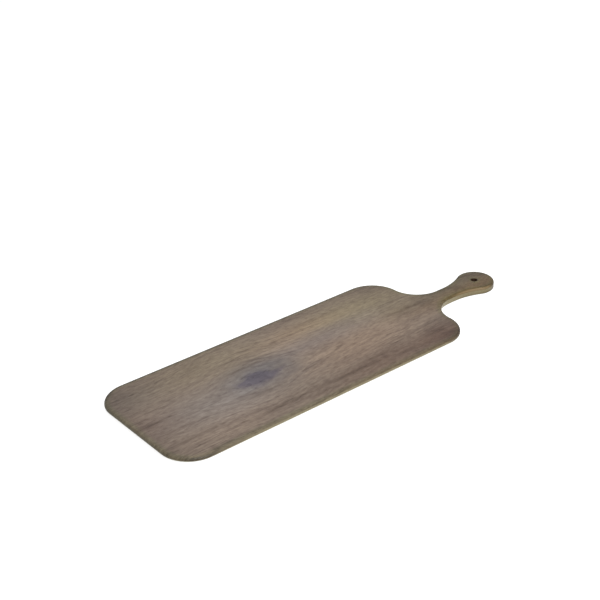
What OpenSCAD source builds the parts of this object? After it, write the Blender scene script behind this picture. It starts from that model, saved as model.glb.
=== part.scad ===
// Paddle serving board moulded in melamine: a thin blade with round corners, a waisted
// handle with a hang hole, a wood-grain sheet on top and four non-slip feet beneath.
// The blade points along -X, the handle along +X, and the feet stand on the plane z = 0.

/* [Blade] */
// Length of the blade, without the handle
blade_l = 414; // [300:1:520]
// Width of the blade
blade_w = 172; // [140:1:240]
// Thickness of the blade at its edge
blade_t = 4.4; // [3.5:0.1:6]
// Radius of the two corners at the toe end
toe_r = 37; // [15:1:60]
// Radius of the two shoulders beside the handle
shoulder_r = 38.5; // [15:0.5:60]

/* [Handle] */
// Length of the handle, from the blade's end to the tip
handle_l = 116; // [95:1:170]
// Thickness of the handle
handle_t = 9.2; // [7:0.1:14]
// Width of the neck at its narrowest
neck_w = 24.5; // [20:0.5:34]
// Diameter of the round head
head_d = 47; // [40:1:60]
// Radius of the inside corners between blade and neck
throat_r = 35; // [15:1:45]
// Radius of the flare from the neck out to the head
flare_r = 82; // [20:1:120]
// Length over which the underside runs down from the blade to the handle
ramp_l = 30; // [15:1:50]
// Wall round the hollow under the handle, and over it
handle_wall = 4; // [3:0.1:6]

/* [Hang hole] */
// Diameter of the hang hole
hole_d = 8; // [5:0.5:10]
// Wall of the boss round the hang hole
hole_wall = 4; // [2.5:0.1:6]
// Distance from the centre of the head back to the hole
hole_back = 2; // [0:0.5:6]

/* [Edge] */
// Radius of the rolled top edge
edge_r = 3; // [1.5:0.1:3.2]
// Radius of the softened lower edge
under_r = 0.9; // [0.3:0.1:1.2]

/* [Wood-grain sheet] */
// Thickness of the sheet with its glaze
sheet_t = 0.5; // [0.4:0.05:0.8]

/* [Foot rim] */
// Distance from the blade's edge to the rim
rim_inset = 14; // [8:1:22]
// Width of the rim
rim_w = 4; // [2.5:0.5:6]

/* [Feet] */
// Diameter of a foot
foot_d = 12; // [8:0.5:16]
// Height of a foot below the rim
foot_drop = 1; // [0.6:0.1:2]
// Depth of the socket that holds a foot
socket_depth = 2.2; // [1.5:0.1:3]
// Glue gap all round a foot
glue_gap = 0.15; // [0.1:0.05:0.3]
// Wall of the boss round a socket
socket_wall = 2.4; // [1.5:0.1:4]
// Distance from the blade's edges to a foot's centre
foot_inset = 36; // [32:1:50]
// Chamfer on the lower edge of a foot
foot_chamfer = 0.5; // [0.2:0.1:0.8]

/* [Hidden] */

// Cuts run past the faces that they open by this much
overrun = 1;
// Shortest straight that is left between two arcs of the outline
least_straight = 0.2;
// Smallest radius of a corner that is drawn in
least_corner = 1;

// Chords of a quarter turn of each corner, and of the whole half of the head
corner_chords = 10;
throat_chords = 14;
flare_chords = 8;
head_chords = 26;
// Steps of the rolled top edge and of the softened lower edge
edge_steps = 5;
under_steps = 2;
// Facets of the round solids
round_fn = 96;

// Places along the board, from the toe at -overall_l / 2
overall_l = blade_l + handle_l;
toe_x = -overall_l / 2;
blade_end_x = toe_x + blade_l;
head_r = head_d / 2;
head_x = overall_l / 2 - head_r;
hole_x = head_x - hole_back;
neck_half = neck_w / 2;

// Heights, from the plane that the feet stand on
under_z = foot_drop;
top_z = under_z + handle_t;
blade_under_z = top_z - blade_t;
sheet_edge_z = top_z - edge_r;
board_top_z = top_z - sheet_t;

// Corners give way where the blade is too narrow for them
root_half = neck_half + throat_r;
toe_arc_r = min(toe_r, blade_w / 2 - least_straight);
shoulder_arc_r = min(shoulder_r, blade_w / 2 - root_half - least_straight);

// The flare touches the neck's side and the head. It gives way on a short handle.
flare_reach = head_x - blade_end_x - throat_r - least_straight;
flare_arc_r = min(flare_r, (pow(flare_reach, 2) / (head_r - neck_half) - head_r - neck_half) / 2);
flare_run = sqrt(pow(flare_arc_r + head_r, 2) - pow(flare_arc_r + neck_half, 2));
flare_x = head_x - flare_run;
flare_turn = asin(flare_run / (flare_arc_r + head_r));

// Points of an arc as [point, outward normal]. side is 1 where the board bulges and -1
// where it is hollowed.
function arc(centre, r, from, to, chords, side) = [
    for (i = [0 : chords])
        let (a = from + (to - from) * i / chords, n = [cos(a), sin(a)])
        [centre + r * n, side * n]
];

// The head turns down to half a chord short of the axis, so that the tip is one chord
head_turn = 90 + flare_turn;
head_step = head_turn / (head_chords + 1 / 2);

// Half of the outline, on the +Y side from the toe to the tip
half_outline = concat(
    arc([toe_x + toe_arc_r, blade_w / 2 - toe_arc_r], toe_arc_r, 180, 90, corner_chords, 1),
    arc([blade_end_x - shoulder_arc_r, blade_w / 2 - shoulder_arc_r], shoulder_arc_r,
        90, 0, corner_chords, 1),
    arc([blade_end_x + throat_r, root_half], throat_r, 180, 270, throat_chords, -1),
    arc([flare_x, neck_half + flare_arc_r], flare_arc_r, 270, 270 + flare_turn, flare_chords, -1),
    arc([head_x, 0], head_r, head_turn - head_step, head_step / 2, head_chords - 1, 1)
);
half_count = len(half_outline);
ring_count = 2 * half_count;

function across(v) = [v.x, -v.y];
function mirrored(half) = [for (i = [len(half) - 1 : -1 : 0]) [across(half[i][0]), across(half[i][1])]];
outline = concat(half_outline, mirrored(half_outline));

// The outline drawn in by a distance, as a flat list of points
function drawn_in(points, inset) = [for (p = points) p[0] - inset * p[1]];

// Half of the blade's rounded rectangle, drawn in by a distance
function blade_half(inset) =
    let (half_w = blade_w / 2 - inset,
         toe = max(toe_arc_r - inset, least_corner),
         shoulder = max(shoulder_arc_r - inset, least_corner))
    concat(
        arc([toe_x + inset + toe, half_w - toe], toe, 180, 90, corner_chords, 1),
        arc([blade_end_x - inset - shoulder, half_w - shoulder], shoulder, 90, 0, corner_chords, 1)
    );

// One ring of a skin: the outline drawn in by inset, at heights[i]
function ring(inset, heights) = [
    for (i = [0 : ring_count - 1])
        let (p = outline[i][0] - inset * outline[i][1])
        [p.x, p.y, heights[i]]
];
function level(z) = [for (i = [0 : ring_count - 1]) z];

// The underside runs down from the blade to the handle in a soft S
function ease(t) = t * t * (3 - 2 * t);
function share_along(x) = min(1, max(0, (x - blade_end_x) / ramp_l));
function under_height(x) = blade_under_z - (blade_under_z - under_z) * ease(share_along(x));
under_heights = [for (p = outline) under_height(p[0].x)];

// Walls between rings that follow each other, from the top of the skin to its bottom
function walls(rings) = [
    for (k = [0 : rings - 2], i = [0 : ring_count - 1])
        let (j = (i + 1) % ring_count, a = k * ring_count, b = a + ring_count)
        [a + i, b + i, b + j, a + j]
];
// A cap on one ring, facing up or down, in strips that run from side to side of the board.
// The strip at the blade's end has the short straights beside the handle for its own end.
blade_last = 2 * (corner_chords + 1) - 1;
function strip(k, i, j) =
    let (a = k * ring_count, b = a + ring_count - 1)
    concat([for (n = [i : j]) a + n], [for (n = [j : -1 : i]) b - n]);
function turned(face) = [for (n = [len(face) - 1 : -1 : 0]) face[n]];
function cap(k, up) =
    let (strips = [
        for (i = [0 : half_count - 2])
            if (i != blade_last) strip(k, i, i == blade_last - 1 ? i + 2 : i + 1)
    ])
    up ? strips : [for (face = strips) turned(face)];

// A rolled edge of radius r, from the flat top out and down to the side
function rolled(r, inset, z) = [
    for (s = [0 : edge_steps])
        let (a = 90 - 90 * s / edge_steps)
        ring(inset + r * (1 - cos(a)), level(z + r * sin(a)))
];

module skin(rings, faces) {
    polyhedron(points = [for (r = rings) each r], faces = faces, convexity = 6);
}

module board_plate() {
    under = [
        for (s = [0 : under_steps])
            let (a = 90 * s / under_steps)
            ring(under_r * (1 - cos(a)), [for (z = under_heights) z + under_r * (1 - sin(a))])
    ];
    rings = concat(
        rolled(edge_r - sheet_t, sheet_t, sheet_edge_z),
        [ring(0, level(sheet_edge_z))],
        under
    );
    skin(rings, concat(cap(0, true), walls(len(rings)), cap(len(rings) - 1, false)));
}

// A rounded rectangle that follows the blade's edge at a distance
module blade_plan(inset) {
    half = blade_half(inset);
    polygon(drawn_in(concat(half, mirrored(half)), 0));
}

// The ring that the board would stand on without its feet
module foot_rim() {
    translate([0, 0, under_z])
    linear_extrude(blade_under_z - under_z + overrun)
    difference() {
        blade_plan(rim_inset);
        blade_plan(rim_inset + rim_w);
    }
}

// Hollow under the handle, with the boss of the hang hole left standing in it
module handle_hollow() {
    nose_r = neck_half - handle_wall;
    nose_gap = 90 / (2 * corner_chords);
    nose_x = blade_end_x + max(throat_r, ramp_l) + nose_r;
    half = concat(
        drawn_in(arc([nose_x, 0], nose_r, 180 - nose_gap, 90, corner_chords, 1), 0),
        drawn_in([for (p = half_outline) if (p[0].x > nose_x) p], handle_wall)
    );
    translate([0, 0, under_z - overrun])
    linear_extrude(handle_t - handle_wall + overrun)
    difference() {
        polygon(concat(half, [for (i = [len(half) - 1 : -1 : 0]) across(half[i])]));
        translate([hole_x, 0])
        circle(hole_d / 2 + hole_wall, $fn = round_fn);
    }
}

module hang_hole() {
    translate([hole_x, 0, under_z - overrun])
    cylinder(h = handle_t + 2 * overrun, d = hole_d, $fn = round_fn);
}

module at_foot(end, side) {
    x = end < 0 ? toe_x + foot_inset : blade_end_x - foot_inset;
    translate([x, side * (blade_w / 2 - foot_inset), 0])
    children();
}

module foot_boss() {
    translate([0, 0, under_z])
    cylinder(h = blade_under_z - under_z + overrun, d = foot_d + 2 * glue_gap + 2 * socket_wall,
        $fn = round_fn);
}

module foot_socket() {
    translate([0, 0, under_z - overrun])
    cylinder(h = socket_depth + overrun, d = foot_d + 2 * glue_gap, $fn = round_fn);
}

// A pad that is glued to the floor of its socket and stands below the rim
module foot(end, side) {
    r = foot_d / 2;
    h = foot_drop + socket_depth;
    color("#3b3835")
    at_foot(end, side)
    rotate_extrude($fn = round_fn)
    polygon([[0, 0], [r - foot_chamfer, 0], [r, foot_chamfer], [r, h], [0, h]]);
}

module moulded_board() {
    color("#958a70")
    difference() {
        union() {
            board_plate();
            foot_rim();
            for (end = [-1, 1], side = [-1, 1]) at_foot(end, side) foot_boss();
        }
        handle_hollow();
        hang_hole();
        for (end = [-1, 1], side = [-1, 1]) at_foot(end, side) foot_socket();
    }
}

module wood_grain_face() {
    outer = rolled(edge_r, 0, sheet_edge_z);
    inner = rolled(edge_r - sheet_t, sheet_t, sheet_edge_z);
    rings = concat(outer, [for (k = [edge_steps : -1 : 0]) inner[k]]);
    color("#83766a")
    difference() {
        skin(rings, concat(cap(0, true), walls(len(rings)), cap(len(rings) - 1, false)));
        hang_hole();
    }
}

module toe_left_foot() { foot(-1, 1); }
module toe_right_foot() { foot(-1, -1); }
module handle_left_foot() { foot(1, 1); }
module handle_right_foot() { foot(1, -1); }

moulded_board();
wood_grain_face();
toe_left_foot();
toe_right_foot();
handle_left_foot();
handle_right_foot();
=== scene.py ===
from math import cos, pi, radians, sin, sqrt

import bmesh
import bpy
from mathutils import Matrix, Vector


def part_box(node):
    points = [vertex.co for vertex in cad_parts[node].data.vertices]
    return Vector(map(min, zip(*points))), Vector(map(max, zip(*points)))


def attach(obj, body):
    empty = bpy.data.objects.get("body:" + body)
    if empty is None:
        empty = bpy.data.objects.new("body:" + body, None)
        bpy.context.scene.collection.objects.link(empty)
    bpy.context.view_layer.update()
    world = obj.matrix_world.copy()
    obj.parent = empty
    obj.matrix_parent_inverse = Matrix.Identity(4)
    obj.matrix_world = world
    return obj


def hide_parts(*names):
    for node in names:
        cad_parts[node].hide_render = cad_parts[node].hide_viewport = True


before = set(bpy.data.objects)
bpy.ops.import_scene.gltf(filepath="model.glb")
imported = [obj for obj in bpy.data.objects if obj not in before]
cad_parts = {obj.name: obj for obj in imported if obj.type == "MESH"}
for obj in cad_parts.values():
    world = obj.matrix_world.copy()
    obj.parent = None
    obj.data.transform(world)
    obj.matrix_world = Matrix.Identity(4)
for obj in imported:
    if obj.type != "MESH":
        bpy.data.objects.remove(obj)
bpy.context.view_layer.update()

# The camera
# A short telephoto, above the toe end and to its right, with the handle pointing away.
# It looks at a point on the level of the wood-grain face, and is tipped over a little.
FOCUS = Vector((0.0428, 0.1049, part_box("wood_grain_face")[1].z))
AZIMUTH = radians(-38.8)
ELEVATION = radians(28.25)
ROLL = radians(-1.5)
DISTANCE = 1.514
SENSOR_MM = 36
LENS_MM = 74.1

back = Vector((sin(AZIMUTH) * cos(ELEVATION), -cos(AZIMUTH) * cos(ELEVATION), sin(ELEVATION)))
level_right = Vector((cos(AZIMUTH), sin(AZIMUTH), 0))
level_up = back.cross(level_right)
right = cos(ROLL) * level_right + sin(ROLL) * level_up
up = cos(ROLL) * level_up - sin(ROLL) * level_right
camera_data = bpy.data.cameras.new("camera")
camera_data.sensor_width = SENSOR_MM
camera_data.lens = LENS_MM
camera = bpy.data.objects.new("camera", camera_data)
turned_to_view = Matrix((right, up, back)).transposed().to_4x4()
camera.matrix_world = Matrix.Translation(FOCUS + DISTANCE * back) @ turned_to_view
bpy.context.scene.collection.objects.link(camera)
bpy.context.scene.camera = camera


# The wood-grain face
# A decor paper printed with weathered wood and soaked in melamine resin. It is pressed
# onto the board in the mould, so it lies flush and rolls over the top edge.
low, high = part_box("wood_grain_face")
toe_x, tip_x = low.x, high.x
half_w = high.y
top_z, edge_z = high.z, low.z
edge_r = top_z - edge_z
sheet_t = top_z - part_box("moulded_board")[1].z

BLADE_L = 0.414
TOE_R = 0.037
SHOULDER_R = 0.0385
THROAT_R = 0.035
NECK_HALF = 0.01225
FLARE_R = 0.082
HEAD_R = 0.0235
blade_end_x = toe_x + BLADE_L
head_x = tip_x - HEAD_R
flare_run = sqrt((FLARE_R + HEAD_R) ** 2 - (FLARE_R + NECK_HALF) ** 2)
flare_x = head_x - flare_run
# The turn of the flare, whose end the head carries on
flare_turn = pi / 2 - Vector((flare_run, FLARE_R + NECK_HALF)).angle(Vector((1, 0)))

# Arcs of half an outline: centre, radius, start, turn, chords, and 1 where the board
# bulges or -1 where it is hollowed
toe_arc = ((toe_x + TOE_R, half_w - TOE_R), TOE_R, pi, -pi / 2, 24, 1)
shoulder_arc = ((blade_end_x - SHOULDER_R, half_w - SHOULDER_R), SHOULDER_R, pi / 2, -pi / 2, 24, 1)
throat_arc = ((blade_end_x + THROAT_R, NECK_HALF + THROAT_R), THROAT_R, pi, pi / 2, 26, -1)
flare_arc = ((flare_x, NECK_HALF + FLARE_R), FLARE_R, 1.5 * pi, flare_turn, 14, -1)
head_arc = ((head_x, 0), HEAD_R, pi / 2 + flare_turn, -pi / 2 - flare_turn, 40, 1)
paddle = (toe_arc, shoulder_arc, throat_arc, flare_arc, head_arc)
# Points closer than this are one point
TOUCH = 1e-6


def traced(bm, arcs, inset, z):
    """One closed loop of edges along the arcs and their mirror image, drawn in by inset."""
    known = set(bm.edges)
    known_points = set(bm.verts)
    last = None
    for (cx, cy), r, start, turn, chords, side in arcs:
        reach = r - side * inset
        first = Vector((cx + reach * cos(start), cy + reach * sin(start), z))
        if last is None and first.y > TOUCH:
            last = bm.verts.new((first.x, 0, z))
        if last is None or (last.co - first).length > TOUCH:
            v = bm.verts.new(first)
            if last is not None:
                bm.edges.new((last, v))
            last = v
        swept = bmesh.ops.spin(bm, geom=[last], cent=(cx, cy, z), axis=(0, 0, 1), angle=turn,
                               steps=chords)
        last = [g for g in swept["geom_last"] if isinstance(g, bmesh.types.BMVert)][0]
    if last.co.y > TOUCH:
        bm.edges.new((last, bm.verts.new((last.co.x, 0, z))))
    half = [e for e in bm.edges if e not in known]
    points = [v for v in bm.verts if v not in known_points]
    bmesh.ops.mirror(bm, geom=half + points, axis="Y", merge_dist=TOUCH)
    return [e for e in bm.edges if e not in known]


def facing_out(bm):
    """Turns every face of a closed solid outwards."""
    bmesh.ops.recalc_face_normals(bm, faces=bm.faces)
    if bm.calc_volume(signed=True) < 0:
        bmesh.ops.reverse_faces(bm, faces=bm.faces)
    return bm


# How far apart the loops of a skin stand while they are bridged, because loops on one
# level would be joined crosswise
STACK_STEP = 0.05


def lofted(arcs, sections, ring=False):
    """A closed skin through loops at each (inset, z), capped at both ends unless it is a ring.

    Each point keeps its inset, which the border of the print follows.
    """
    bm = bmesh.new()
    from_edge = bm.verts.layers.float.new("from_edge")
    loops = [traced(bm, arcs, inset, k * STACK_STEP) for k, (inset, z) in enumerate(sections)]
    following = loops[1:] + loops[:1] if ring else loops[1:]
    for a, b in zip(loops, following):
        bmesh.ops.bridge_loops(bm, edges=a + b)
    if not ring:
        for loop in (loops[0], loops[-1]):
            bmesh.ops.edgeloop_fill(bm, edges=loop)
    for loop, (inset, z) in zip(loops, sections):
        for e in loop:
            for v in e.verts:
                v.co.z = z
                v[from_edge] = inset
    return facing_out(bm)


def quarter(r, inset, z, steps, rise=1):
    """Sections of a rounded edge, from its upright side to its flat face."""
    turns = [pi / 2 * k / steps for k in range(steps + 1)]
    return [(inset + r * (1 - cos(a)), z + rise * r * sin(a)) for a in turns]


def turned(profile, at, chords):
    """A solid of revolution about the upright line through a place."""
    bm = bmesh.new()
    chain = [bm.verts.new((at[0] + r, at[1], z)) for r, z in profile]
    edges = [bm.edges.new(pair) for pair in zip(chain, chain[1:])]
    bmesh.ops.spin(bm, geom=chain + edges, cent=(at[0], at[1], 0), axis=(0, 0, 1), angle=2 * pi,
                   steps=chords, use_merge=True)
    bmesh.ops.remove_doubles(bm, verts=bm.verts, dist=TOUCH)
    return facing_out(bm)


def as_object(bm, name):
    """Keeps a finished bmesh as a new object."""
    mesh = bpy.data.meshes.new(name)
    bm.to_mesh(mesh)
    bm.free()
    piece = bpy.data.objects.new(name, mesh)
    bpy.context.scene.collection.objects.link(piece)
    return piece


def joined(piece, tool_bm, operation):
    """Adds a solid to the piece, or cuts it away, and keeps the result as the piece's mesh."""
    tool = as_object(tool_bm, "tool")
    boolean = piece.modifiers.new("tool", "BOOLEAN")
    boolean.operation = operation
    boolean.solver = "EXACT"
    boolean.object = tool
    depsgraph = bpy.context.evaluated_depsgraph_get()
    result = bpy.data.meshes.new_from_object(piece.evaluated_get(depsgraph))
    piece.modifiers.clear()
    old = piece.data
    result.name = piece.name
    piece.data = result
    bpy.data.meshes.remove(old)
    bpy.data.objects.remove(tool)


# Two faces that meet more sharply than this keep a hard line between them
CREASE = radians(40)


def smoothed(piece):
    """Smooth shading, with a hard line at each crease."""
    piece.data.shade_smooth()
    piece.data.set_sharp_from_angle(angle=CREASE)
    weighted = piece.modifiers.new("even_faces", "WEIGHTED_NORMAL")
    weighted.weight = 100
    weighted.keep_sharp = True


# The hang hole goes through the sheet and the handle, a little behind the middle of the
# head, with its edges eased
HOLE_BACK = 0.002
HOLE_R = 0.004
HOLE_EASE = 0.0005
HOLE_CHORDS = 64
EASE_STEPS = 4
# How far a cut or a join runs past the face that it meets
MARGIN = 0.001
handle_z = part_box("moulded_board")[0].z
hole_x = head_x - HOLE_BACK


def hang_hole():
    """The solid that cuts the hole, flared by the easing at both ends."""
    upper = quarter(HOLE_EASE, 0, top_z - HOLE_EASE, EASE_STEPS)
    lower = quarter(HOLE_EASE, 0, handle_z + HOLE_EASE, EASE_STEPS, -1)
    wall = [(HOLE_R + inset, z) for inset, z in lower[::-1] + upper]
    wide = HOLE_R + HOLE_EASE
    below = [(0, handle_z - MARGIN), (wide, handle_z - MARGIN)]
    above = [(wide, top_z + MARGIN), (0, top_z + MARGIN)]
    return turned(below + wall + above, (hole_x, 0), HOLE_CHORDS)


# Three more sections on the flat keep its shading even, and carry the border of the print
FLAT_START = 0.0004
LINE_W = 0.0050
BORDER_W = 0.0090
ROLL_STEPS = 8
outer_roll = quarter(edge_r, 0, edge_z, ROLL_STEPS)
inner_roll = quarter(edge_r - sheet_t, sheet_t, edge_z, ROLL_STEPS)
flat = [(edge_r + FLAT_START, top_z), (LINE_W, top_z), (BORDER_W, top_z)]
sheet = as_object(lofted(paddle, inner_roll[::-1] + outer_roll + flat), "decor_sheet")
joined(sheet, hang_hole(), "DIFFERENCE")
smoothed(sheet)


class Value:
    """A shader socket that works in Python arithmetic."""

    def __init__(self, nodes, socket):
        self.nodes = nodes
        self.socket = socket

    def math(self, operation, *terms):
        return self.nodes.add("ShaderNodeMath", {"operation": operation}, dict(enumerate(terms)))

    def __add__(self, other):
        return self.math("ADD", self, other)

    def __radd__(self, other):
        return self.math("ADD", other, self)

    def __sub__(self, other):
        return self.math("SUBTRACT", self, other)

    def __rsub__(self, other):
        return self.math("SUBTRACT", other, self)

    def __mul__(self, other):
        return self.math("MULTIPLY", self, other)

    def __rmul__(self, other):
        return self.math("MULTIPLY", other, self)

    def __truediv__(self, other):
        return self.math("DIVIDE", self, other)

    def __abs__(self):
        return self.math("ABSOLUTE", self)

    def exp(self):
        return self.math("EXPONENT", self)

    def tanh(self):
        return self.math("TANH", self)

    def wave(self):
        return self.math("SINE", self)

    def root(self):
        return self.math("SQRT", self)

    def between(self, start, end):
        """0 at start and 1 at end, with a soft rise from one to the other."""
        ranged = {"interpolation_type": "SMOOTHSTEP"}
        return self.nodes.add("ShaderNodeMapRange", ranged, {0: self, 1: start, 2: end})


class Nodes:
    """The shader nodes of one material, or of the world."""

    def __init__(self, tree):
        self.tree = tree

    def put(self, socket, value):
        if isinstance(value, Value):
            self.tree.links.new(value.socket, socket)
        else:
            socket.default_value = value

    def add(self, kind, settings, inputs, output=0):
        node = self.tree.nodes.new(kind)
        for name, value in settings.items():
            if name == "stops":
                ramp = node.color_ramp
                while len(ramp.elements) < len(value):
                    ramp.elements.new(0.5)
                for element, (place, colour) in zip(ramp.elements, value):
                    element.position = place
                    element.color = colour
            else:
                setattr(node, name, value)
        for name, value in inputs.items():
            self.put(node.inputs[name], value)
        return Value(self, node.outputs[output])


# What a satin surface adds to the board's colours in white surroundings
SHEEN = (0.042, 0.0365, 0.032, 1)


class Finish(Nodes):
    """One material, with x, y and z as places on the board in metres."""

    def __init__(self, name, **constants):
        self.material = bpy.data.materials.new(name)
        self.material.use_nodes = True
        super().__init__(self.material.node_tree)
        self.shader = self.tree.nodes["Principled BSDF"]
        self.set(**constants)
        place = self.add("ShaderNodeTexCoord", {}, {}, output="Object")
        split = self.add("ShaderNodeSeparateXYZ", {}, {0: place}).socket.node
        self.x, self.y, self.z = (Value(self, socket) for socket in split.outputs)

    def set(self, **values):
        for socket, value in values.items():
            self.put(self.shader.inputs[socket.replace("_", " ")], value)

    def vector(self, x, y, z):
        return self.add("ShaderNodeCombineXYZ", {}, {0: x, 1: y, 2: z})

    def noise(self, x, y, z, detail=2.0, roughness=0.5):
        """Soft noise about 0, from about -0.35 to 0.35."""
        place = self.vector(x, y, z)
        inputs = {"Vector": place, "Scale": 1.0, "Detail": detail, "Roughness": roughness}
        return self.add("ShaderNodeTexNoise", {}, inputs) - 0.5

    def length(self, vector):
        return self.add("ShaderNodeVectorMath", {"operation": "LENGTH"}, {0: vector}, output=1)

    def off_axis(self, x):
        """How far a point is from an upright line on the board's long axis."""
        return self.length(self.vector(self.x - x, self.y, 0))

    def near(self, place, centre, half):
        """1 at a centre, falling softly to 0 at one and a half times a mark's half-lengths."""
        scale = (1 / half[0], 1 / half[1], 0)
        shift = (-centre[0] / half[0], -centre[1] / half[1], 0)
        inputs = {0: place, 1: scale, 2: shift}
        scaled = self.add("ShaderNodeVectorMath", {"operation": "MULTIPLY_ADD"}, inputs)
        return 1 - self.length(scaled).between(0, 1.5)

    def ramp(self, value, stops):
        return self.add("ShaderNodeValToRGB", {"stops": stops}, {0: value})

    def mixed(self, share, a, b, blend="MIX"):
        settings = {"data_type": "RGBA", "blend_type": blend, "clamp_result": True}
        return self.add("ShaderNodeMix", settings, {0: share, 6: a, 7: b}, output=2)

    def under_sheen(self, colour):
        """The colour beneath the sheen, for a colour given as it is seen."""
        return self.mixed(1.0, colour, SHEEN, "SUBTRACT")

    def tinted(self, share, colour, red, green, blue):
        """The colour times a tint, where share is 1."""
        return self.mixed(share, colour, (red, green, blue, 1), "MULTIPLY")

    def bump(self, height, distance, strength):
        inputs = {"Height": height, "Distance": distance, "Strength": strength}
        return self.add("ShaderNodeBump", {}, inputs)


def paint(red, green, blue):
    """A colour given as it looks on a screen, from 0 to 255."""
    linear = [((c / 255 + 0.055) / 1.055) ** 2.4 for c in (red, green, blue)]
    return (*linear, 1.0)


def near_corner(f):
    """1 round the toe's right corner, where painted shade darkens the edge and a painted highlight
    lies inside it.
    """
    from_toe = f.x - toe_x
    from_side = f.y + half_w
    return (1 - from_toe.between(0.022, 0.060)) * (1 - from_side.between(0.004, 0.018))


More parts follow.
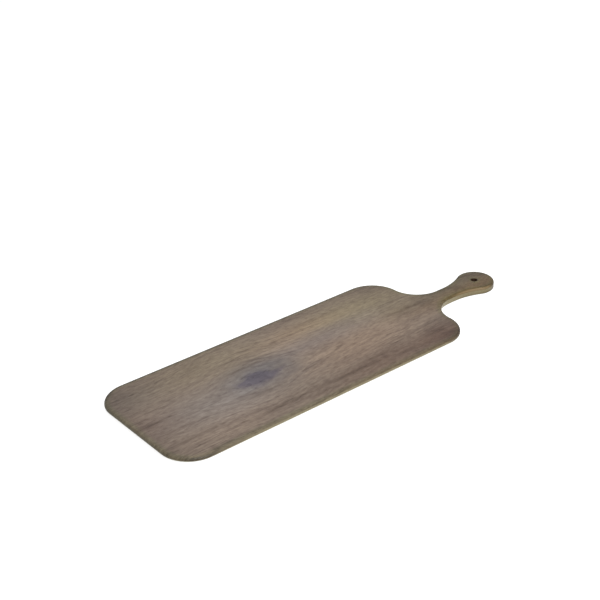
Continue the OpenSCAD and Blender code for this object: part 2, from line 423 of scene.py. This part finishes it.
def decor_print():
    """Flat-sawn grey brown oak, with its growth rings, fibres, pores and one large knot."""
    f = Finish("weathered_wood_decor", IOR=1.5, Specular_IOR_Level=0.4)

    # Where the knot is, its half-lengths, and how far it pushes the rings apart
    knot_x, knot_y = -0.109, -0.004
    knot_l, knot_w = 0.034, 0.0120
    push, push_l, push_w = 0.010, 0.060, 0.013

    # The log's heart runs at a slant below the board, so the rings come out as long arches
    dx, dy = f.x - knot_x, f.y - knot_y
    wander = f.noise(f.x * 5, f.y * 9, 3.1, detail=1)
    fall = (dx / push_l) * (dx / push_l) * -1
    across = dy - push * fall.exp() * (dy / push_w).tanh() + 0.014 * wander
    depth = 0.021 + 0.055 * f.x + 0.010 * f.noise(f.x * 7, 1.7, 8.4, detail=1)
    ring = (across * across + depth * depth).root()
    ripple = 0.0030 * f.noise(f.x * 38, f.y * 60, 19.0, detail=1)

    def streaks(along, over, seed, detail=2.0):
        return f.noise(f.x * along, (ring + ripple) * over, seed + across * 12, detail)

    # The grain is close and dark in some parts of the plank, and quiet in others
    busy = f.noise(f.x * 12, f.y * 38, 5.3, detail=1).between(-0.12, 0.16)
    broad = streaks(4, 24, 0.0)
    bands = streaks(11, 70, 11.0)
    fine = streaks(26, 270, 23.0, detail=3)
    late = 1 - abs(streaks(8, 150, 41.0, detail=1)).between(0.0, 0.05)
    flecks = f.noise(f.x * 120, (across + ripple) * 330, 27.0)
    fibre = f.noise(f.x * 80, f.y * 1500, 31.0, roughness=0.6)
    pores = f.noise(f.x * 120, (across + ripple) * 620, 53.0, detail=1).between(0.10, 0.22)
    ticks = f.noise(f.x * 55, (across + ripple) * 260, 67.0, detail=1).between(0.14, 0.27)

    tone = 0.57 + 0.22 * broad + 0.22 * bands + (0.15 + 0.4 * busy) * fine + 0.5 * flecks + 0.2 * fibre
    tone = tone - (0.03 + 0.13 * busy) * late - 0.11 * pores - 0.17 * ticks

    # The plank is darker towards its long sides and its ends, and a little towards the toe
    from_toe = f.x - toe_x
    past_blade = f.x - blade_end_x
    long_sides = abs(f.y).between(0.03, 0.085)
    toe_end = 1 - from_toe.between(0.003, 0.040)
    shoulders = past_blade.between(-0.074, -0.019)
    towards_toe = 1 - from_toe.between(0.015, 0.355)
    tone = tone - 0.10 * long_sides - 0.12 * toe_end - 0.12 * shoulders - 0.045 * towards_toe
    colour = f.ramp(tone, [(0.10, paint(88, 76, 68)), (0.38, paint(116, 102, 91)),
                           (0.56, paint(133, 119, 106)), (0.9, paint(161, 147, 133))])

    # Stains of the weathered plank: centre, half-lengths and tint
    frayed = f.vector(f.x + 0.05 * fine, f.y + 0.016 * bands + 0.006 * fine + 0.01 * wander, 0)
    stains = [
        ((-0.150, -0.014), (0.105, 0.034), (0.95, 1.01, 1.12)),
        ((-0.170, -0.050), (0.070, 0.030), (1.13, 1.12, 1.12)),
        ((-0.180, -0.070), (0.040, 0.012), (1.09, 1.09, 1.08)),
        ((0.030, -0.020), (0.100, 0.036), (1.20, 1.13, 1.07)),
        ((0.010, 0.018), (0.090, 0.020), (0.92, 0.94, 1.04)),
        ((0.090, 0.044), (0.100, 0.036), (1.08, 1.11, 0.96)),
        ((-0.010, 0.046), (0.075, 0.022), (1.18, 1.12, 1.05)),
        ((-0.135, 0.058), (0.090, 0.030), (1.07, 1.09, 1.00)),
        ((-0.240, 0.056), (0.044, 0.030), (0.78, 0.79, 0.81)),
        ((-0.245, -0.006), (0.040, 0.030), (0.88, 0.84, 0.84)),
        ((0.000, -0.042), (0.065, 0.011), (0.90, 0.88, 0.88)),
        ((0.040, -0.062), (0.038, 0.014), (0.88, 0.86, 0.86)),
        ((0.030, -0.074), (0.110, 0.022), (0.86, 0.79, 0.76)),
        ((0.118, -0.070), (0.050, 0.024), (0.78, 0.70, 0.68)),
        ((0.125, 0.002), (0.050, 0.020), (0.92, 0.91, 0.84)),
        ((-0.096, 0.004), (0.050, 0.028), (0.77, 0.84, 0.95)),
        ((0.215, -0.014), (0.075, 0.016), (1.22, 1.08, 0.90)),
    ]
    for centre, half, tint in stains:
        colour = f.tinted(f.near(frayed, centre, half), colour, *tint)

    # Dark strokes where the plank cuts a ring lengthways: centre, half-lengths and strength
    strokes = [
        ((-0.115, -0.064), (0.036, 0.0034), 0.8),
        ((-0.022, -0.065), (0.050, 0.0042), 0.8),
        ((-0.062, -0.074), (0.026, 0.0030), 0.5),
        ((0.026, -0.056), (0.034, 0.0026), 0.6),
        ((0.060, -0.071), (0.026, 0.0034), 0.5),
        ((0.112, -0.060), (0.024, 0.0040), 0.5),
        ((0.126, -0.075), (0.022, 0.0036), 0.5),
        ((-0.110, 0.022), (0.024, 0.0030), 0.7),
        ((-0.112, -0.030), (0.028, 0.0030), 0.6),
        ((-0.243, -0.004), (0.026, 0.0034), 0.7),
        ((-0.216, -0.049), (0.030, 0.0022), 0.6),
        ((0.130, 0.003), (0.044, 0.0030), 0.6),
        ((0.030, 0.057), (0.046, 0.0040), 0.4),
    ]
    bent = f.vector(f.x + 0.04 * flecks, f.y + 0.010 * wander + ripple + 0.003 * fine, 0)
    for centre, half, strength in strokes:
        colour = f.tinted(strength * f.near(bent, centre, half), colour, 0.58, 0.55, 0.54)

    # The knot is a dark eye with close rings, frayed along the grain
    ku, kv = dx / knot_l, (dy + 0.03 * wander) / knot_w
    torn = f.noise(f.x * 40, f.y * 120, 77.0, detail=3)
    eye = (ku * ku + kv * kv).root() + 1.4 * torn + 0.8 * bands
    core = 1 - eye.between(0.5, 1.15)
    colour = f.tinted(core, colour, 0.68, 0.66, 0.78)
    whorl = (eye * 13).wave().between(0.2, 1.0)
    colour = f.tinted(core * whorl * 0.3, colour, 0.80, 0.78, 0.82)

    # The handle is darker, the print is dull and olive along its border, and the rolled edge
    # is a shade darker except at the toe's end
    from_edge = f.add("ShaderNodeAttribute", {"attribute_name": "from_edge"}, {}, output=2)
    handle = past_blade.between(-0.019, 0.041)
    border = 1 - from_edge.between(0.002, BORDER_W)
    rolled = (1 - from_edge.between(0.0016, 0.0034)) * from_toe.between(0.003, 0.025)
    colour = f.tinted(handle, colour, 0.69, 0.69, 0.61)
    colour = f.tinted(border, colour, 0.87, 0.945, 0.83)
    colour = f.tinted(rolled, colour, 0.87, 0.85, 0.84)

    # The near corner of the toe has painted shade at its rim and a painted highlight inside it
    rim = near_corner(f) * (1 - from_edge.between(0.0008, 0.0022))
    corner_highlight = from_edge.between(0.0016, 0.0028) * (1 - from_edge.between(0.0045, 0.0080))
    colour = f.tinted(rim, colour, 0.56, 0.55, 0.56)
    colour = f.tinted(near_corner(f) * corner_highlight, colour, 1.24, 1.22, 1.24)

    # A painted shade line follows the crest of the edge, narrower from the shoulders on. It is left
    # off the near side, which faces the near lamp, on the blade, on the shoulder and on the handle
    line_end = LINE_W - 0.0018 * past_blade.between(-0.049, -0.019)
    line = from_edge.between(0.0006, 0.0014) * (1 - from_edge.between(line_end - 0.0020, line_end))
    on_shoulder = past_blade.between(-0.041, -0.014)
    on_handle = past_blade.between(-0.005, 0.005)
    far_side_from_y = 0.081 * on_handle - 0.020 * on_shoulder - 0.069
    far_side = (f.y - far_side_from_y).between(-0.009, 0.009)
    colour = f.tinted(line * far_side * from_toe.between(0.003, 0.015), colour, 0.60, 0.59, 0.61)

    # Painted light on the near side, which faces the near lamp: paler on the blade, warmer on the head
    long_side = from_toe.between(0.045, 0.125) * (1 - past_blade.between(-0.049, -0.024))
    near_side_light = 0.5 * long_side * (1 - far_side) * (1 - from_edge.between(0.0001, 0.0008))
    colour = f.mixed(near_side_light, colour, paint(156, 147, 120))
    head_side = past_blade.between(0.036, 0.056) * (1 - past_blade.between(0.091, 0.101))
    head_side_light = 0.8 * head_side * (1 - far_side) * (1 - from_edge.between(0.0008, 0.0020))
    colour = f.mixed(head_side_light, colour, paint(132, 113, 86))

    # Painted shade darkens a ring at the lip of the hang hole, where the edge turns down into it
    hole_lip_shade = 1 - f.off_axis(hole_x).between(HOLE_R + 0.0001, HOLE_R + 0.0009)
    colour = f.tinted(hole_lip_shade, colour, 0.55, 0.50, 0.45)

    rough = 0.54 + 0.10 * fine + 0.06 * pores
    normal = f.bump(fibre - 0.5 * pores, 0.0006, 0.22)
    f.set(Base_Color=f.under_sheen(colour), Roughness=rough, Normal=normal)
    return f.material


sheet.data.materials.append(decor_print())
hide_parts("wood_grain_face")
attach(sheet, "root")


# The moulded board
# One compression moulding in beige brown melamine. The blade is a plate on a foot rim,
# and the handle is thicker and hollow beneath, with a boss round the hang hole.
UNDER_EASE = 0.0009
RAMP_L = 0.030
BLADE_T = 0.0044
HANDLE_WALL = 0.004
RIM_INSET = 0.014
RIM_W = 0.004
RIM_EASE = 0.0008
UNDER_STEPS = 3
HOLE_WALL = 0.004
NOSE_CHORDS = 12
RAMP_CUTS = 12
blade_under_z = top_z - BLADE_T

under_roll = quarter(UNDER_EASE, 0, blade_under_z + UNDER_EASE, UNDER_STEPS, -1)
plate = lofted(paddle, inner_roll[::-1] + [(0, edge_z)] + under_roll)
for cut in range(RAMP_CUTS + 1):
    at = (blade_end_x + RAMP_L * cut / RAMP_CUTS, 0, 0)
    everything = list(plate.verts) + list(plate.edges) + list(plate.faces)
    bmesh.ops.bisect_plane(plate, geom=everything, plane_co=at, plane_no=(1, 0, 0), dist=TOUCH)
# The underside falls in a soft ramp from the blade to the thicker handle
for v in plate.verts:
    share = min(1, max(0, (v.co.x - blade_end_x) / RAMP_L))
    if v.co.z < edge_z - UNDER_EASE / 2:
        v.co.z -= (blade_under_z - handle_z) * share * share * (3 - 2 * share)
body = as_object(plate, "melamine_board")

rim_out = quarter(RIM_EASE, RIM_INSET, handle_z + RIM_EASE, UNDER_STEPS, -1)
rim_in = [(2 * RIM_INSET + RIM_W - inset, z) for inset, z in rim_out]
seat_z = blade_under_z + MARGIN
rim_sections = [(RIM_INSET, seat_z)] + rim_out + rim_in[::-1] + [(RIM_INSET + RIM_W, seat_z)]
joined(body, lofted((toe_arc, shoulder_arc), rim_sections, ring=True), "UNION")

# The hollow starts with a round nose in the neck and follows the handle's outline
HOLLOW_ROLL = 0.001
nose_x = blade_end_x + THROAT_R + NECK_HALF - HANDLE_WALL
nose_arc = ((nose_x, 0), NECK_HALF, pi, -pi / 2, NOSE_CHORDS, 1)
hollow_z = top_z - HANDLE_WALL
hollow_roll = quarter(HOLLOW_ROLL, HANDLE_WALL, hollow_z - HOLLOW_ROLL, EASE_STEPS)
hollow = lofted((nose_arc, flare_arc, head_arc), [(HANDLE_WALL, handle_z - MARGIN)] + hollow_roll)
joined(body, hollow, "DIFFERENCE")


def boss(r, root_z, ease, at, chords):
    """A round boss that hangs from root_z down to the foot rim's level, eased at its end."""
    profile = [(0, root_z), (r, root_z), (r, handle_z + ease), (r - ease, handle_z), (0, handle_z)]
    return turned(profile, at, chords)


hole_boss = boss(HOLE_R + HOLE_WALL, hollow_z + MARGIN, UNDER_EASE, (hole_x, 0), HOLE_CHORDS)
joined(body, hole_boss, "UNION")
joined(body, hang_hole(), "DIFFERENCE")

# Four bosses under the blade, each with a blind socket for a foot
SOCKET_WALL = 0.0024
SOCKET_EASE = 0.0003
GLUE_GAP = 0.00015
FOOT_CHORDS = 48
foot_names = ("toe_left_foot", "toe_right_foot", "handle_left_foot", "handle_right_foot")
for name in foot_names:
    foot_low, foot_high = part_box(name)
    at = ((foot_low + foot_high) / 2).xy
    socket_r = (foot_high.x - foot_low.x) / 2 + GLUE_GAP
    joined(body, boss(socket_r + SOCKET_WALL, seat_z, RIM_EASE, at, FOOT_CHORDS), "UNION")
    mouth_r = socket_r + SOCKET_EASE
    socket = [(0, foot_high.z), (socket_r, foot_high.z), (socket_r, handle_z + SOCKET_EASE),
              (mouth_r, handle_z), (mouth_r, handle_z - MARGIN), (0, handle_z - MARGIN)]
    joined(body, turned(socket, at, FOOT_CHORDS), "DIFFERENCE")
smoothed(body)


def melamine():
    """Plain beige brown melamine with a faint flow of the moulding powder."""
    f = Finish("beige_brown_melamine", IOR=1.5, Specular_IOR_Level=0.45)
    flow = f.noise(f.x * 30, f.y * 90, f.z * 300, detail=3)
    fleck = f.noise(f.x * 900, f.y * 900, f.z * 900)
    streak = f.noise(f.x * 22, f.y * 60, f.z * 1500)
    tone = 0.5 + 0.7 * flow + 0.5 * fleck + 0.5 * streak
    colour = f.ramp(tone, [(0.15, paint(138, 127, 101)), (0.5, paint(156, 146, 119)),
                           (0.85, paint(170, 161, 134))])

    # The side is darker round the thick head. Painted shade darkens the head's lower edge, its tip,
    # which turns away from the lamps, the toe's near corner and the bore of the hang hole
    head = f.x.between(head_x - 3 * HEAD_R, head_x - HEAD_R)
    lower = 1 - f.z.between(handle_z + 0.0005, handle_z + 0.0045)
    outer = f.off_axis(head_x).between(HEAD_R - 0.0025, HEAD_R - 0.0008)
    tip = f.x.between(head_x, head_x + 0.6 * HEAD_R) * outer
    bore = 1 - f.off_axis(hole_x).between(HOLE_R + 0.0001, HOLE_R + 0.0008)
    colour = f.tinted(head, colour, 0.70, 0.66, 0.60)
    colour = f.tinted(head * lower, colour, 0.74, 0.74, 0.70)
    colour = f.tinted(tip, colour, 0.56, 0.53, 0.54)
    colour = f.tinted(near_corner(f), colour, 0.58, 0.57, 0.58)
    colour = f.tinted(bore, colour, 0.26, 0.22, 0.19)

    rough = 0.46 + 0.12 * flow + 0.05 * fleck
    normal = f.bump(flow + 0.4 * fleck, 0.0004, 0.12)
    f.set(Base_Color=f.under_sheen(colour), Roughness=rough, Normal=normal)
    return f.material


body.data.materials.append(melamine())
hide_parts("moulded_board")
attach(body, "root")


# The non-slip feet
# Four dark grey silicone pads, glued into the sockets under the blade. Each has a shallow
# dish in its sole, so that it grips the table by its rim.
FOOT_EASE = 0.0005
DISH_R = 0.0036
DISH_DEPTH = 0.0003


def silicone():
    """Dark grey silicone rubber with a fine moulded matt."""
    f = Finish("dark_silicone", IOR=1.42, Specular_IOR_Level=0.3)
    matt = f.noise(f.x * 2600, f.y * 2600, f.z * 2600)
    dust = f.noise(f.x * 260, f.y * 260, f.z * 260, detail=3)
    colour = f.ramp(0.5 + dust, [(0.2, paint(50, 47, 45)), (0.8, paint(68, 65, 62))])
    f.set(Base_Color=colour, Roughness=0.72 + 0.15 * dust, Normal=f.bump(matt, 0.0002, 0.3))
    return f.material


rubber = silicone()
for name in foot_names:
    foot_low, foot_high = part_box(name)
    at = ((foot_low + foot_high) / 2).xy
    foot_r = (foot_high.x - foot_low.x) / 2
    dish_z = foot_low.z + DISH_DEPTH
    eased = quarter(FOOT_EASE, 0, foot_low.z + FOOT_EASE, EASE_STEPS, -1)
    side = [(0, foot_high.z), (foot_r, foot_high.z)] + [(foot_r - inset, z) for inset, z in eased]
    dish = [(DISH_R + DISH_DEPTH, foot_low.z), (DISH_R, dish_z), (0, dish_z)]
    pad = as_object(turned(side + dish, at, FOOT_CHORDS), name.replace("_foot", "_pad"))
    smoothed(pad)
    pad.data.materials.append(rubber)
    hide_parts(name)
    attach(pad, "root")


# The stage
# A white floor under two soft lamps. The stronger one stands on the near side, so the
# near edges are bright and the far and end edges turn dark.
FLOOR_SIZE = 24
FLOOR_GREY = (0.5, 0.5, 0.5, 1)
FLOOR_GLOW = 0.9
BLACK = (0, 0, 0, 1)
WHITE = (1, 1, 1, 1)


def shown(nodes):
    """1 for a ray that shows the surroundings, straight, in a gloss or through glass."""
    seen = nodes.add("ShaderNodeLightPath", {}, {}, output="Is Camera Ray")
    path = seen.socket.node
    for ray in ("Is Glossy Ray", "Is Transmission Ray"):
        seen = seen.math("MAXIMUM", seen, Value(nodes, path.outputs[ray]))
    return seen


bpy.ops.mesh.primitive_plane_add(size=FLOOR_SIZE)
floor = bpy.context.object
floor.name = "floor"
floor_paint = Finish("white_floor", Base_Color=FLOOR_GREY, Roughness=1.0,
                     Specular_IOR_Level=0.0, Emission_Strength=FLOOR_GLOW)
floor_paint.set(Emission_Color=floor_paint.mixed(shown(floor_paint), BLACK, WHITE))
floor.data.materials.append(floor_paint.material)

# The world is plain white where it is seen, and dimmer where it lights the board
WORLD_LIGHT = 0.09
world = bpy.data.worlds.new("studio")
bpy.context.scene.world = world
world.use_nodes = True
sky = world.node_tree.nodes["Background"]
surround = Nodes(world.node_tree)
surround.put(sky.inputs["Color"], WHITE)
surround.put(sky.inputs["Strength"], WORLD_LIGHT + (1 - WORLD_LIGHT) * shown(surround))


def softbox(name, place, size, watts):
    """A square lamp that is aimed at the middle of the board."""
    data = bpy.data.lights.new(name, "AREA")
    data.shape = "SQUARE"
    data.size = size
    data.energy = watts
    lamp = bpy.data.objects.new(name, data)
    lamp.location = place
    lamp.rotation_euler = (Vector(place) * -1).to_track_quat("-Z", "Y").to_euler()
    bpy.context.scene.collection.objects.link(lamp)


softbox("near_side_lamp", (-0.3, -1.35, 0.9), size=0.9, watts=26.5)
softbox("overhead_lamp", (-0.1, -0.2, 1.8), size=1.2, watts=16.5)

view = bpy.context.scene.view_settings
view.view_transform = "Standard"
